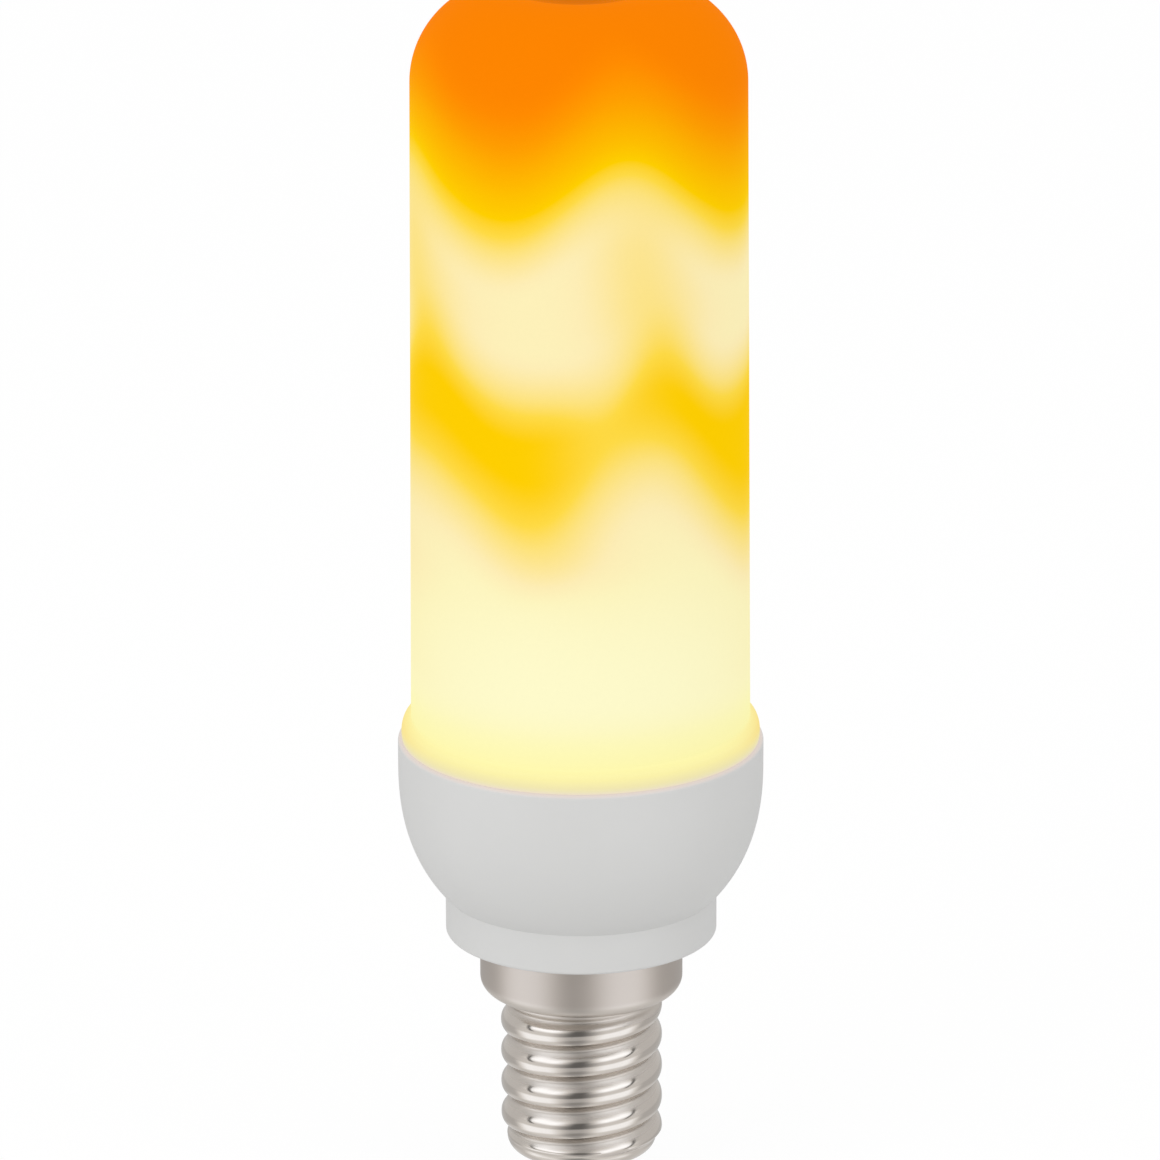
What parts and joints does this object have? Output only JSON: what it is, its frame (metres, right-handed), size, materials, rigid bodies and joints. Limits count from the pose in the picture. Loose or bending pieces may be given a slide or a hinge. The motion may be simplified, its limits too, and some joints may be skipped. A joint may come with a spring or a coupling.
{
  "type": "flame effect led bulb",
  "caption": "Tubular LED lamp with a frosted flame-effect diffuser on a rounded white base cup and a small right-hand Edison screw cap.",
  "frame": {"origin": "middle of the centre contact's flat tip, on the lamp's axis", "axes": "+Z along the lamp's axis from the cap to the diffuser's top, -Y towards the front of the lamp"},
  "size_m": [0.031, 0.031, 0.108],
  "materials": {
    "frosted_flame": "frosted polycarbonate lit from inside: orange top, yellow bands and pale yellow below",
    "white_plastic": "fine satin moulding, greyish white",
    "nickel_plate": "nickel plated brass sheet, softly polished",
    "black_glass": "smooth black insulator",
    "board_white": "white solder mask",
    "board_green": "green solder mask",
    "black_plastic": "moulded epoxy",
    "can_sleeve": "shrunk sleeve over an aluminium can",
    "ferrite": "dark grey ferrite",
    "resistor_green": "flame-proof lacquer",
    "red_sleeve": "PVC insulation",
    "white_sleeve": "PVC insulation"
  },
  "bodies": {
    "root": {"diffuser": "frosted_flame", "base_housing": "white_plastic", "cap_shell": "nickel_plate", "cap_insulator": "black_glass", "centre_contact": "nickel_plate", "led_core": "white_plastic", "led_flex_board": "board_white", "control_board": "board_white", "board_header": "black_plastic", "flame_controller": "black_plastic", "driver_board": "board_green", "input_capacitor": "can_sleeve", "output_capacitor": "can_sleeve", "power_inductor": "ferrite", "driver_chip": "black_plastic", "bridge_rectifier": "black_plastic", "freewheel_diode": "black_plastic", "sense_resistor": "black_plastic", "fusible_resistor": "resistor_green", "live_wire": "red_sleeve", "neutral_wire": "white_sleeve"}
  },
  "joints": []
}
